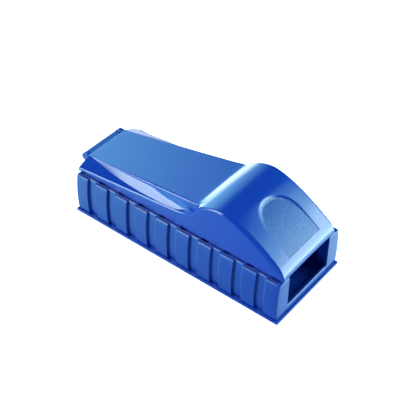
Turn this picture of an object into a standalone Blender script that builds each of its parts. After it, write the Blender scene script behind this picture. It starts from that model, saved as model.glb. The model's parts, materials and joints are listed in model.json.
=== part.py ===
"""Hand-operated tube filler: ribbed grip box, sliding carriage and hinged hump cover.

World frame: X is the width, Y the length, Z up.  The front (open window) end is at -Y and the
hinge end at +Y.  The origin is the middle of the underside, which rests on the ground plane.
All sizes below are millimetres and are turned into metres when a mesh is made.
"""
import math

import bmesh
import bpy
import numpy as np

MM = 0.001

# ---- clearances -------------------------------------------------------------------------
GAP = 0.3                    # between neighbouring pieces that are fixed to each other
RUN_GAP = 0.4                # between pieces that slide past each other
SCREW_GAP = 0.1              # round a screw shank
PIN_GAP = 0.08               # round the hinge pin, a running fit

# ---- grip box ---------------------------------------------------------------------------
BASE_LENGTH = 115.0
RIM_WIDTH = 44.3             # over the raised panels, at the rim
BASE_HEIGHT = 21.7           # rim above the ground
BELLY = 1.2                  # how far the side walls swell past the rim
WALL = 1.7                   # side wall
END_WALL = 1.5               # front and rear wall
CORNER_R = 0.5
PANELS = 10                  # raised panels on each long side
RECESS_RATIO = 0.755         # recess width divided by raised panel width
RECESS_DEPTH = 1.25
STEP_RUN = 0.15              # the recess drops in over this length at its rear end
RAMP_RUN = 1.2               # and climbs out over this length at its front end
POST_WIDTH = 6.95            # solid wall on each side of the front window
SILL_HEIGHT = 4.6            # lower edge of the front window

# ---- floor plate and its screws ---------------------------------------------------------
PLATE_THICK = 1.2
FLANGE = 0.9                 # plate edge past the end walls
SIDE_FLANGE = 0.7            # plate edge past the long sides
SCREW_INSET_X = 4.1         # screw axis in from the rim
SCREW_INSET_Y = 4.0          # screw axis in from the end face
SCREW_SHANK_R = 0.9
SCREW_HEAD_R = 1.7
SCREW_HEAD_H = 1.1
BOSS_R = 2.1
BOSS_TOP = 4.2

# ---- cover ------------------------------------------------------------------------------
COVER_WIDTH = 39.4
COVER_RISE = 20.3            # cover's lower edge to the top of the hump
COVER_WALL = 1.6
ROOF_WALL = 1.7
EDGE_DROP = 1.57             # side edge of the hump below its middle
VALLEY_SHARE = 0.279         # crown down to the valley in front of the flat panel, as a share of the rise
PANEL_REAR_LIFT = 2.0        # panel's rear edge above the hinge axis
PANEL_FRONT_INSET = 2.7      # panel's side edge in from the cover's side, at the valley
PANEL_REAR_INSET = 7.17      # and at the rear edge
PAD_WIDTH = 22.4
PAD_LENGTH = 21.8
PAD_FRONT_INSET = 3.3        # straight front edge of the pad behind the cover's front
PAD_DEPTH_FRONT = 0.25
PAD_DEPTH_REAR = 1.52
NUB_R = 0.8
NUB_SPACING = 9.0            # two nubs under the lip, one each side of the tube
NUB_DROP = 1.0

# ---- hinge ------------------------------------------------------------------------------
HINGE_BACK = 3.4             # hinge axis behind the rear wall's outer face
HINGE_LIFT = 2.6             # hinge axis above the rim
KNUCKLE_R = 2.1
BARREL_R = 1.95
BARREL_FLAT = 1.35           # the barrel is cut flat this far above the pin's middle
BARREL_HALF = 9.9            # half length of the middle barrel
KNUCKLE_LENGTH = 2.6
PIN_R = 0.9

# ---- filling channel, round the tube axis -----------------------------------------------
AXIS_SHARE = 0.576           # height of the tube axis as a share of the box height
SPOON_R = 3.5
SPOON_WALL = 0.35
NOZZLE_R_IN = 3.65
NOZZLE_WALL = 0.3
TROUGH_R_IN = 3.8
TROUGH_WALL = 0.3
CHANNEL_RISE = 4.2           # chamber walls above the tube axis
HOLDER_RISE = 4.9            # nozzle holder above the tube axis

# ---- carriage ---------------------------------------------------------------------------
SKIRT_THICK = 2.5
LIP_REACH = 1.7
LIP_HEIGHT = 1.8
RAIL_THICK = 2.0
RAIL_WEB = 1.6
TRAVEL_SHARE = 0.522         # slide travel as a share of the box length

# ---- sizes that follow from the ones above ----------------------------------------------
HALF_L = BASE_LENGTH / 2
RIM_HALF = RIM_WIDTH / 2
PANEL_W = BASE_LENGTH / (PANELS + (PANELS - 1) * RECESS_RATIO)
RECESS_W = PANEL_W * RECESS_RATIO
WINDOW_HALF = RIM_HALF - POST_WIDTH
COVER_HALF = COVER_WIDTH / 2
COVER_BOTTOM = BASE_HEIGHT + RUN_GAP
COVER_REAR = HALF_L + HINGE_BACK - KNUCKLE_R
COVER_FRONT = -HALF_L + 0.1
CROWN_Z = COVER_BOTTOM + COVER_RISE
VALLEY_Y = -HALF_L * 0.1217
VALLEY_Z = CROWN_Z - VALLEY_SHARE * COVER_RISE
PANEL_TAPER = (PANEL_REAR_INSET - PANEL_FRONT_INSET) / (COVER_REAR - VALLEY_Y)
HINGE_Y = HALF_L + HINGE_BACK
HINGE_Z = BASE_HEIGHT + HINGE_LIFT
PANEL_SLOPE = (VALLEY_Z - HINGE_Z - PANEL_REAR_LIFT) / (COVER_REAR - VALLEY_Y)
AXIS_Z = BASE_HEIGHT * AXIS_SHARE
FLOOR_Z = PLATE_THICK + GAP
SKIRT_OUT = WINDOW_HALF - 0.5
SKIRT_IN = SKIRT_OUT - SKIRT_THICK
BED_HALF = SKIRT_IN - RUN_GAP
FRAME_TOP = BASE_HEIGHT - 0.5
CROSS_LOW = AXIS_Z + HOLDER_RISE + RUN_GAP
LIP_LOW = BASE_HEIGHT * 0.415
TRAVEL = BASE_LENGTH * TRAVEL_SHARE
BED_REAR = HALF_L - 7.5
BED_FRONT = -HALF_L * 0.247
HOLDER_REAR = BED_FRONT - GAP
HOLDER_FRONT = HOLDER_REAR - 7.5
NOZZLE_FRONT = HOLDER_FRONT - 14.0
RAIL_FRONT = -HALF_L * 0.70
RAIL_REAR = HALF_L * 0.85
LIP_REAR = RAIL_REAR - 1.0
LIP_FRONT = RAIL_FRONT + TRAVEL + 2.1
# cover profile: shares of the half length along it, shares of the cover's rise upwards
CROWN_SHARE = -0.425         # the hump's highest place
FRONT_FALL = 2.08
FRONT_POWER = 1.62
REAR_FALL = 3.45
REAR_POWER = 1.88
LIP_ROUND_START = -0.946
LIP_ROUND_RUN = 0.053
LIP_ROUND_DROP = 0.148
EDGE_HUMP_SHARE = -0.198     # ahead of this the side edge follows the crown
EDGE_MIDDLE = 0.359
EDGE_FALL = 0.279
EDGE_CURL = 7.15

SCREW_X = RIM_HALF - SCREW_INSET_X
SCREW_Y = HALF_L - SCREW_INSET_Y

BLUE = (0.035, 0.135, 0.56)
DEEP_BLUE = (0.022, 0.085, 0.40)
STEEL = (0.62, 0.63, 0.64)
ZINC = (0.55, 0.56, 0.58)
BLACK = (0.02, 0.02, 0.022)


def clear_scene():
    """Remove every object that is already in the file."""
    for item in list(bpy.data.objects):
        bpy.data.objects.remove(item, do_unlink=True)


def make_material(name, colour, roughness, metallic=0.0):
    """One Principled material per sub-part."""
    material = bpy.data.materials.new(name)
    material.use_nodes = True
    shader = material.node_tree.nodes["Principled BSDF"]
    shader.inputs["Base Color"].default_value = (*colour, 1.0)
    shader.inputs["Roughness"].default_value = roughness
    shader.inputs["Metallic"].default_value = metallic
    return material


def mesh_object(name, points, faces, material=None, smooth=False):
    """Make an object from points in millimetres; flat many-sided faces are split up."""
    mesh = bpy.data.meshes.new(name)
    mesh.from_pydata([tuple(value * MM for value in point) for point in points], [], faces)
    work = bmesh.new()
    work.from_mesh(mesh)
    bmesh.ops.remove_doubles(work, verts=work.verts, dist=1e-6)
    wide = [face for face in work.faces if len(face.verts) > 4]
    bmesh.ops.triangulate(work, faces=wide)
    bmesh.ops.recalc_face_normals(work, faces=work.faces)
    work.to_mesh(mesh)
    work.free()
    item = bpy.data.objects.new(name, mesh)
    bpy.context.collection.objects.link(item)
    if material is not None:
        mesh.materials.append(material)
    if smooth:
        mesh.polygons.foreach_set("use_smooth", [True] * len(mesh.polygons))
        mesh.set_sharp_from_angle(angle=math.radians(35))
    return item


def prism(name, outline, axis, low, high, material=None, smooth=False):
    """Extrude a closed outline along one axis.

    The outline's two numbers are the other two axes in X, Y, Z order.
    """
    def place(pair, along):
        spot = list(pair)
        spot.insert("XYZ".index(axis), along)
        return spot

    count = len(outline)
    points = [place(pair, low) for pair in outline] + [place(pair, high) for pair in outline]
    faces = [list(range(count)), list(range(count, 2 * count))]
    for i in range(count):
        j = (i + 1) % count
        faces.append([i, j, count + j, count + i])
    return mesh_object(name, points, faces, material, smooth)


def block(name, x_span, y_span, z_span, material=None):
    """A plain box from three (low, high) spans."""
    outline = [(x_span[0], y_span[0]), (x_span[1], y_span[0]), (x_span[1], y_span[1]), (x_span[0], y_span[1])]
    return prism(name, outline, "Z", z_span[0], z_span[1], material)


def circle(centre, radius, segments=24):
    """Corner points of a round outline."""
    turn = 2 * math.pi / segments
    return [(centre[0] + radius * math.cos(i * turn), centre[1] + radius * math.sin(i * turn))
            for i in range(segments)]


def ring(name, axis, centre, outer, inner, low, high, material, segments=24):
    """A straight tube along one axis, as one closed body."""
    def place(pair, along):
        spot = list(pair)
        spot.insert("XYZ".index(axis), along)
        return spot

    loops = []
    for radius, along in ((outer, low), (outer, high), (inner, high), (inner, low)):
        loops.append([place(pair, along) for pair in circle(centre, radius, segments)])
    points = [point for loop in loops for point in loop]
    faces = []
    for k in range(4):
        for i in range(segments):
            j = (i + 1) % segments
            n = ((k + 1) % 4) * segments
            faces.append([k * segments + i, k * segments + j, n + j, n + i])
    return mesh_object(name, points, faces, material, smooth=True)


def combine(target, other, operation):
    """Add or cut another solid with an exact boolean; the other solid is hidden."""
    change = target.modifiers.new(operation.lower() + "_" + other.name, "BOOLEAN")
    change.operation = operation
    change.solver = "EXACT"
    change.object = other
    other.hide_render = True
    other.display_type = "WIRE"


def channel_outline(radius, wall, top, segments=12):
    """U-shaped wall round the tube axis: half-round below, straight sides up to the top."""
    def arc(reach, start, stop):
        return [(reach * math.cos(start + (stop - start) * i / segments),
                 AXIS_Z + reach * math.sin(start + (stop - start) * i / segments)) for i in range(segments + 1)]

    outer = [(-radius - wall, top)] + arc(radius + wall, math.pi, 2 * math.pi) + [(radius + wall, top)]
    inner = [(radius, top)] + arc(radius, 2 * math.pi, math.pi) + [(-radius, top)]
    return outer + inner


# ---- grip box ---------------------------------------------------------------------------
def side_half_width(z):
    """Half width over the raised panels: a shallow belly, widest a little below mid-height."""
    widest = 0.42 * BASE_HEIGHT
    share = (z - widest) / (BASE_HEIGHT - widest)
    return RIM_HALF + BELLY * (1 - share * share)


def side_stations():
    """Stations down one long side, rear to front: outer y, inner y and how far it is sunk."""
    mitre = 0.41 * WALL
    rows = []
    for i in range(PANELS - 1):
        rear = HALF_L - PANEL_W - i * (PANEL_W + RECESS_W)
        front = rear - RECESS_W
        rows.append((rear, rear + WALL, 0.0))
        rows.append((rear - STEP_RUN, rear + WALL - STEP_RUN, RECESS_DEPTH))
        rows.append((front + RAMP_RUN, front + RAMP_RUN - mitre, RECESS_DEPTH))
        rows.append((front, front - mitre, 0.0))
    return rows


def box_loops(z):
    """Outer and inner outline of the box wall at one height, point for point."""
    half = side_half_width(z)
    inside_y = HALF_L - END_WALL
    small = 0.4
    corner_out = [(half, HALF_L - CORNER_R), (half - 0.29 * CORNER_R, HALF_L - 0.29 * CORNER_R),
                  (half - CORNER_R, HALF_L)]
    corner_in = [(half - WALL, inside_y - small), (half - WALL - 0.29 * small, inside_y - 0.29 * small),
                 (half - WALL - small, inside_y)]
    right_out = [(half - sink, y) for y, _, sink in reversed(side_stations())] + corner_out
    right_in = [(half - WALL - sink, y) for _, y, sink in reversed(side_stations())] + corner_in
    front_out = [(x, -y) for x, y in reversed(corner_out)]
    front_in = [(x, -y) for x, y in reversed(corner_in)]
    right_out = front_out + right_out
    right_in = front_in + right_in
    left_out = [(-x, y) for x, y in reversed(right_out)]
    left_in = [(-x, y) for x, y in reversed(right_in)]
    return right_out + left_out, right_in + left_in


def build_base_housing():
    """Ribbed box wall, open above and below, with a window in its front end."""
    levels = np.linspace(FLOOR_Z, BASE_HEIGHT, 6)
    loops = []
    for z in levels:
        loops.append([(x, y, z) for x, y in box_loops(z)[0]])
    for z in levels[::-1]:
        loops.append([(x, y, z) for x, y in box_loops(z)[1]])
    count = len(loops[0])
    points = [point for loop in loops for point in loop]
    faces = []
    for k in range(len(loops)):
        after = (k + 1) % len(loops)
        for i in range(count):
            j = (i + 1) % count
            faces.append([k * count + i, k * count + j, after * count + j, after * count + i])
    plastic = make_material("base_housing_plastic", BLUE, 0.28)
    housing = mesh_object("base_housing", points, faces, plastic)
    window = block("window_cutter", (-WINDOW_HALF, WINDOW_HALF), (-HALF_L - 5, -HALF_L + 4),
                   (SILL_HEIGHT, BASE_HEIGHT + 5))
    combine(housing, window, "DIFFERENCE")
    for name, x_side, y_side in corners():
        x_span = sorted((x_side * (WINDOW_HALF + 1.0), x_side * (RIM_HALF - 0.5)))
        y_span = sorted((y_side * (SCREW_Y - 2.6), y_side * (HALF_L - 0.5)))
        post = block("post_" + name, x_span, y_span, (BOSS_TOP + GAP, BASE_HEIGHT - 1.2))
        combine(housing, post, "UNION")
    for name, x_side, y_side in corners():
        outline = circle((x_side * SCREW_X, y_side * SCREW_Y), SCREW_SHANK_R + SCREW_GAP, 16)
        pilot = prism("pilot_" + name, outline, "Z", 1.0, BOSS_TOP + 9.6)
        combine(housing, pilot, "DIFFERENCE")


def corners():
    """Name and side signs of the four screw corners."""
    return [("rear_left", -1, 1), ("rear_right", 1, 1), ("front_left", -1, -1), ("front_right", 1, -1)]


def build_floor_plate():
    """Flat plate under the box; its edge shows as a thin flange all round."""
    half_x = side_half_width(PLATE_THICK) + SIDE_FLANGE
    half_y = HALF_L + FLANGE
    plate = block("floor_plate", (-half_x, half_x), (-half_y, half_y), (0.0, PLATE_THICK),
                  make_material("floor_plate_plastic", BLUE, 0.32))
    for name, x_side, y_side in corners():
        centre = (x_side * SCREW_X, y_side * SCREW_Y)
        boss = prism("boss_" + name, circle(centre, BOSS_R, 20), "Z", 0.5, BOSS_TOP)
        combine(plate, boss, "UNION")
        hole = prism("hole_" + name, circle(centre, SCREW_SHANK_R + SCREW_GAP, 16), "Z", -1.0, BOSS_TOP + 1.0)
        combine(plate, hole, "DIFFERENCE")
        recess = prism("recess_" + name, circle(centre, SCREW_HEAD_R + SCREW_GAP, 20), "Z", -1.0,
                       SCREW_HEAD_H + 0.5)
        combine(plate, recess, "DIFFERENCE")


def build_floor_screws():
    """Four screws put in from below, heads sunk under the plate's face."""
    steel = make_material("screw_zinc", ZINC, 0.35, 1.0)
    for name, x_side, y_side in corners():
        profile = [(SCREW_HEAD_R, 0.3), (SCREW_HEAD_R, 0.3 + SCREW_HEAD_H), (SCREW_SHANK_R, 0.3 + SCREW_HEAD_H),
                   (SCREW_SHANK_R, BOSS_TOP + 8.2), (0.25, BOSS_TOP + 9.2)]
        turned("floor_screw_" + name, (x_side * SCREW_X, y_side * SCREW_Y), profile, steel)


def turned(name, centre, profile, material, segments=16):
    """Turn a (radius, height) profile about an upright axis; both ends are closed flat."""
    points = []
    for radius, height in profile:
        points += [(x, y, height) for x, y in circle(centre, radius, segments)]
    faces = [list(range(segments)), list(range(len(points) - segments, len(points)))]
    for k in range(len(profile) - 1):
        for i in range(segments):
            j = (i + 1) % segments
            faces.append([k * segments + i, k * segments + j, (k + 1) * segments + j, (k + 1) * segments + i])
    return mesh_object(name, points, faces, material, smooth=True)


# ---- fixed inner pieces -----------------------------------------------------------------
def build_guide_rails():
    """A C-shaped rail on each side; the carriage's lips run inside it, up to a rubber stop."""
    low = LIP_LOW - GAP
    high = LIP_LOW + LIP_HEIGHT + GAP
    inner = SKIRT_OUT + GAP
    web = inner + LIP_REACH + GAP
    outer = web + RAIL_WEB
    for name, side in (("left", -1), ("right", 1)):
        outline = [(inner, low - RAIL_THICK), (web, low - RAIL_THICK), (web, FLOOR_Z), (outer, FLOOR_Z),
                   (outer, high + RAIL_THICK), (inner, high + RAIL_THICK), (inner, high), (web, high),
                   (web, low), (inner, low)]
        prism("guide_rail_" + name, [(side * x, z) for x, z in outline], "Y", RAIL_FRONT, RAIL_REAR,
              make_material("guide_rail_plastic_" + name, DEEP_BLUE, 0.4))
        x_span = sorted((side * (inner + 0.1), side * (web - 0.1)))
        block("stop_bumper_" + name, x_span, (RAIL_FRONT + 0.2, RAIL_FRONT + 1.7),
              (LIP_LOW, LIP_LOW + LIP_HEIGHT), make_material("stop_rubber_" + name, BLACK, 0.8))


def build_filling_channel():
    """Chamber bed with its metal trough, and the nozzle in its holder."""
    top = AXIS_Z + CHANNEL_RISE
    groove = TROUGH_R_IN + TROUGH_WALL + GAP
    inner_edge = channel_outline(groove, 1.0, top)[-15:]
    outline = [(-BED_HALF, top), (-BED_HALF, FLOOR_Z), (BED_HALF, FLOOR_Z), (BED_HALF, top)] + inner_edge
    prism("chamber_bed", outline, "Y", BED_FRONT, BED_REAR, make_material("chamber_bed_plastic", DEEP_BLUE, 0.4))
    prism("tobacco_trough", channel_outline(TROUGH_R_IN, TROUGH_WALL, top), "Y", BED_FRONT + 0.2, BED_REAR - 0.2,
          make_material("trough_steel", STEEL, 0.3, 1.0), smooth=True)
    holder = block("nozzle_holder", (-BED_HALF, BED_HALF), (HOLDER_FRONT, HOLDER_REAR),
                   (FLOOR_Z, AXIS_Z + HOLDER_RISE), make_material("nozzle_holder_plastic", DEEP_BLUE, 0.4))
    seat = NOZZLE_R_IN + NOZZLE_WALL + SCREW_GAP
    bore = prism("nozzle_bore", circle((0.0, AXIS_Z), seat, 32), "Y", HOLDER_FRONT - 1, HOLDER_REAR + 1)
    combine(holder, bore, "DIFFERENCE")
    ring("nozzle_tube", "Y", (0.0, AXIS_Z), NOZZLE_R_IN + NOZZLE_WALL, NOZZLE_R_IN, NOZZLE_FRONT,
         HOLDER_REAR - 0.1, make_material("nozzle_steel", STEEL, 0.25, 1.0), 32)
    rest = channel_outline(NOZZLE_R_IN + NOZZLE_WALL + 0.5, 1.0, AXIS_Z - 0.6)[-15:]
    foot = [(-6.0, AXIS_Z - 0.6), (-6.0, FLOOR_Z), (6.0, FLOOR_Z), (6.0, AXIS_Z - 0.6)]
    cradle = [(x, min(z, AXIS_Z - 0.6)) for x, z in rest if z < AXIS_Z - 0.5]
    prism("tube_cradle", foot + cradle, "Y", NOZZLE_FRONT - 6.0, NOZZLE_FRONT - 2.5,
          make_material("tube_cradle_plastic", DEEP_BLUE, 0.4))


# ---- carriage ---------------------------------------------------------------------------
def build_carriage():
    """Sliding frame that carries the spoon below it and the cover's hinge behind it."""
    front = HOLDER_FRONT - 17.5
    rear = HALF_L - END_WALL - RUN_GAP
    frame = block("carriage_frame", (-SKIRT_OUT, SKIRT_OUT), (front, BED_FRONT + 0.8), (CROSS_LOW, FRAME_TOP),
                  make_material("carriage_frame_plastic", DEEP_BLUE, 0.35))
    for name, side in (("left", -1), ("right", 1)):
        skirt = block("skirt_" + name, sorted((side * SKIRT_IN, side * SKIRT_OUT)), (front, rear),
                      (SILL_HEIGHT + 1.4, FRAME_TOP))
        combine(frame, skirt, "UNION")
        lip = block("lip_" + name, sorted((side * (SKIRT_OUT - 1), side * (SKIRT_OUT + LIP_REACH))),
                    (LIP_FRONT, LIP_REAR), (LIP_LOW, LIP_LOW + LIP_HEIGHT))
        combine(frame, lip, "UNION")
    cross = block("rear_cross", (-SKIRT_OUT + 0.5, SKIRT_OUT - 0.5), (BED_REAR + 1.0, rear), (CROSS_LOW, FRAME_TOP))
    combine(frame, cross, "UNION")
    riser = block("rear_riser", (-BARREL_HALF + 0.9, BARREL_HALF - 0.9), (BED_REAR + 1.0, rear - 0.5),
                  (FRAME_TOP - 1.0, HINGE_Z - 0.4))
    combine(frame, riser, "UNION")
    arm = block("hinge_arm", (-BARREL_HALF + 0.9, BARREL_HALF - 0.9), (rear - 1.5, HINGE_Y),
                (COVER_BOTTOM, HINGE_Z - 0.4))
    combine(frame, arm, "UNION")
    outline = [(y, min(z, HINGE_Z + BARREL_FLAT)) for y, z in circle((HINGE_Y, HINGE_Z), BARREL_R, 32)]
    barrel = prism("hinge_barrel", outline, "X", -BARREL_HALF, BARREL_HALF)
    combine(frame, barrel, "UNION")
    bore = prism("barrel_bore", circle((HINGE_Y, HINGE_Z), PIN_R + PIN_GAP, 32), "X", -BARREL_HALF - 1, BARREL_HALF + 1)
    combine(frame, bore, "DIFFERENCE")
    reach = BARREL_HALF + GAP + KNUCKLE_LENGTH - 0.3
    prism("hinge_pin", circle((HINGE_Y, HINGE_Z), PIN_R, 32), "X", -reach, reach,
          make_material("hinge_pin_steel", STEEL, 0.3, 1.0), smooth=True)
    block("spoon_block", (-2.9, 2.9), (BED_REAR + 0.6, rear - 0.5), (AXIS_Z - 2.2, CROSS_LOW - GAP),
          make_material("spoon_block_plastic", DEEP_BLUE, 0.4))
    spoon = half_pipe_outline(SPOON_R, SPOON_R - SPOON_WALL)
    prism("spoon", spoon, "Y", BED_FRONT + 1.0, BED_REAR + 0.6 - GAP,
          make_material("spoon_steel", STEEL, 0.22, 1.0), smooth=True)


def half_pipe_outline(outer, inner, segments=16):
    """Lower half of a thin pipe round the tube axis."""
    sweep = [math.pi + math.pi * i / segments for i in range(segments + 1)]
    low = [(outer * math.cos(angle), AXIS_Z + outer * math.sin(angle)) for angle in sweep]
    high = [(inner * math.cos(angle), AXIS_Z + inner * math.sin(angle)) for angle in reversed(sweep)]
    return low + high


# ---- cover ------------------------------------------------------------------------------
def panel_z(y):
    """Height of the flat rear panel, which falls evenly towards the hinge."""
    return VALLEY_Z - PANEL_SLOPE * (y - VALLEY_Y)


def crown_z(y):
    """Height along the middle: powers of the distance each way from the crown, a round lip, then the flat panel."""
    if y >= VALLEY_Y:
        return panel_z(y)
    ahead = max(CROWN_SHARE * HALF_L - y, 0.0) / HALF_L
    behind = max(y - CROWN_SHARE * HALF_L, 0.0) / HALF_L
    fall = FRONT_FALL * ahead ** FRONT_POWER + REAR_FALL * behind ** REAR_POWER
    lip = min(max((LIP_ROUND_START * HALF_L - y) / (LIP_ROUND_RUN * HALF_L), 0.0), 1.0)
    fall += LIP_ROUND_DROP * (1 - math.sqrt(1 - lip * lip))
    hump = COVER_BOTTOM + COVER_RISE * (1 - fall)
    return max(hump, panel_z(y)) if behind > 0.0 else hump


def edge_z(y):
    """Height of the side edge: under the crown on the hump, then a square-law curl and a straight fall."""
    share = y / HALF_L
    if share < EDGE_HUMP_SHARE:
        return max(crown_z(y) - EDGE_DROP, COVER_BOTTOM + 0.12)
    rise = EDGE_MIDDLE - EDGE_FALL * share + EDGE_CURL * min(share, 0.0) ** 2
    return COVER_BOTTOM + rise * COVER_RISE


def top_half_width(y):
    """Half width of the upper face: nearly full on the hump, tapering along the rear panel."""
    full = COVER_HALF - EDGE_DROP
    rear = COVER_HALF - PANEL_FRONT_INSET - PANEL_TAPER * (y - VALLEY_Y)
    blend = min(max((y + 0.27 * HALF_L) / (0.12 * HALF_L), 0.0), 1.0)
    return full + (rear - full) * blend * blend * (3 - 2 * blend)


def cover_section(y, shrink_x, shrink_z):
    """Half section from the lower edge to the middle: side, edge, wing or round, then the top."""
    blend = min(max((y + 0.24 * HALF_L) / (0.16 * HALF_L), 0.0), 1.0)
    bow = 0.22 - 0.36 * blend
    edge = (COVER_HALF, edge_z(y))
    top = (top_half_width(y), crown_z(y) - 0.35 * blend)
    dx = top[0] - edge[0]
    dz = top[1] - edge[1]
    rows = [(COVER_HALF, COVER_BOTTOM), edge]
    for t in (0.33, 0.67):
        lift = 4 * t * (1 - t) * bow
        rows.append((edge[0] + dx * t + dz * lift, edge[1] + dz * t - dx * lift))
    rows.append(top)
    rows.append((top[0] - 0.4, crown_z(y)))
    rows.append((top[0] * 0.5, crown_z(y)))
    rows.append((0.0, crown_z(y)))
    scale = (COVER_HALF - shrink_x) / COVER_HALF
    low = COVER_BOTTOM - (3.0 if shrink_z else 0.0)
    return [(rows[0][0] * scale, low)] + [(x * scale, max(z - shrink_z, low + 0.1)) for x, z in rows[1:]]


def cover_solid(name, stations, shrink_x, shrink_z, material=None):
    """Loft the sections into one closed solid with a flat underside."""
    loops = []
    for y, real_y in stations:
        half = cover_section(real_y, shrink_x, shrink_z)
        full = [(-x, y, z) for x, z in half] + [(x, y, z) for x, z in reversed(half[:-1])]
        loops.append(full)
    count = len(loops[0])
    points = [point for loop in loops for point in loop]
    faces = [list(range(count)), list(range(len(points) - count, len(points)))]
    for k in range(len(loops) - 1):
        for i in range(count):
            j = (i + 1) % count
            faces.append([k * count + i, k * count + j, (k + 1) * count + j, (k + 1) * count + i])
    return mesh_object(name, points, faces, material)


def cover_stations():
    """Places along the length where the cover is cut into sections, close together where it bends."""
    rear = np.linspace(COVER_REAR, -0.02 * HALF_L, 8)
    middle = np.linspace(-0.06 * HALF_L, -0.30 * HALF_L, 9)
    front = np.linspace(-0.37 * HALF_L, -0.93 * HALF_L, 10)
    lip = [-0.955 * HALF_L, -0.975 * HALF_L, -0.988 * HALF_L, COVER_FRONT]
    return [float(y) for y in (*rear, *middle, *front, *lip)]


def pad_outline(grow=0.0):
    """D-shaped outline of the thumb pad: straight front edge, straight sides, half-round rear."""
    front = COVER_FRONT + PAD_FRONT_INSET - grow
    radius = PAD_WIDTH / 2 + grow
    centre_y = COVER_FRONT + PAD_FRONT_INSET + PAD_LENGTH - PAD_WIDTH / 2
    arc = [(radius * math.cos(math.pi * i / 16), centre_y + radius * math.sin(math.pi * i / 16)) for i in range(17)]
    return arc, front, centre_y


def pad_cutter():
    """Solid that sinks the pad: its lower face follows the hump at a growing depth."""
    arc, front, centre_y = pad_outline()
    half = PAD_WIDTH / 2
    rear = centre_y + half
    steps = [front + (centre_y - front) * i / 4 for i in range(5)]
    steps += [centre_y + half * math.sin(math.pi * i / 16) for i in range(1, 8)]
    points = []
    rows = []
    for y in steps:
        reach = half if y <= centre_y else math.sqrt(max(half ** 2 - (y - centre_y) ** 2, 0.0))
        depth = PAD_DEPTH_FRONT + (PAD_DEPTH_REAR - PAD_DEPTH_FRONT) * (y - front) / (rear - front)
        low = crown_z(y) - depth
        rows.append(len(points))
        points += [(-reach, y, low), (reach, y, low), (reach, y, CROWN_Z + 6), (-reach, y, CROWN_Z + 6)]
    faces = [[0, 1, 2, 3], [rows[-1] + k for k in range(4)]]
    for a, b in zip(rows[:-1], rows[1:]):
        for k in range(4):
            n = (k + 1) % 4
            faces.append([a + k, a + n, b + n, b + k])
    return mesh_object("pad_cutter", points, faces)


def build_cover():
    """Hump cover with a hollow underside, sunk thumb pad and two hinge knuckles."""
    stations = cover_stations()
    plastic = make_material("top_cover_plastic", BLUE, 0.2)
    cover = cover_solid("top_cover", [(y, y) for y in stations], 0.0, 0.0, plastic)
    inside = [(COVER_REAR + 2.0, COVER_REAR)] + [(y, y) for y in stations[1:] if y > COVER_FRONT + 2.2]
    hollow = cover_solid("cover_hollow", inside, COVER_WALL, ROOF_WALL)
    combine(cover, hollow, "DIFFERENCE")
    combine(cover, pad_cutter(), "DIFFERENCE")
    roof = panel_z(COVER_REAR)
    for name, side in (("left", -1), ("right", 1)):
        x_span = sorted((side * (BARREL_HALF + GAP), side * (BARREL_HALF + GAP + KNUCKLE_LENGTH)))
        web = block("knuckle_web_" + name, x_span, (COVER_REAR - 1.2, HINGE_Y), (roof - 1.6, roof - 0.12))
        combine(cover, web, "UNION")
        knuckle = prism("knuckle_" + name, circle((HINGE_Y, HINGE_Z), KNUCKLE_R, 32), "X", *x_span)
        combine(cover, knuckle, "UNION")
        hole = prism("knuckle_hole_" + name, circle((HINGE_Y, HINGE_Z), PIN_R + PIN_GAP, 32), "X",
                     *sorted((side * (BARREL_HALF - 1), side * (BARREL_HALF + GAP + KNUCKLE_LENGTH - 0.2))))
        combine(cover, hole, "DIFFERENCE")
        nub_outline = circle((side * NUB_SPACING / 2, COVER_FRONT + 1.3), NUB_R, 12)
        nub = prism("lip_nub_" + name, nub_outline, "Z", COVER_BOTTOM - NUB_DROP, COVER_BOTTOM + 1.5)
        combine(cover, nub, "UNION")
    build_press_bar()


def build_press_bar():
    """Bar under the cover that closes the chamber from above, held by three ribs."""
    low = AXIS_Z + HOLDER_RISE + RUN_GAP
    front = BED_FRONT + 3.0
    rear = BED_REAR - 1.0
    bar = block("press_bar", (-SPOON_R + 0.2, SPOON_R - 0.2), (front, rear), (low, low + 2.6),
                make_material("press_bar_plastic", DEEP_BLUE, 0.35))
    for i in range(3):
        middle = front + 3.0 + (rear - front - 6.0) * i / 2
        top = panel_z(middle + 1.0) - ROOF_WALL - GAP - 0.2
        rib = block("press_rib_" + str(i), (-0.9, 0.9), (middle - 1.0, middle + 1.0), (low + 1.0, top))
        combine(bar, rib, "UNION")


def main():
    """Build every piece of the filler."""
    clear_scene()
    build_base_housing()
    build_floor_plate()
    build_floor_screws()
    build_guide_rails()
    build_filling_channel()
    build_carriage()
    build_cover()


main()
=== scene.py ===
"""Looks of a hand-operated filter-tube filler: ribbed grip box, hump cover, hinge row and inner works.

Every size below is in millimetres and every mesh is made in metres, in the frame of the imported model.
"""
from __future__ import annotations

import json
import logging
import math
from dataclasses import dataclass, field
from enum import Enum

import bpy
import numpy as np
from mathutils import Matrix, Vector


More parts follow.
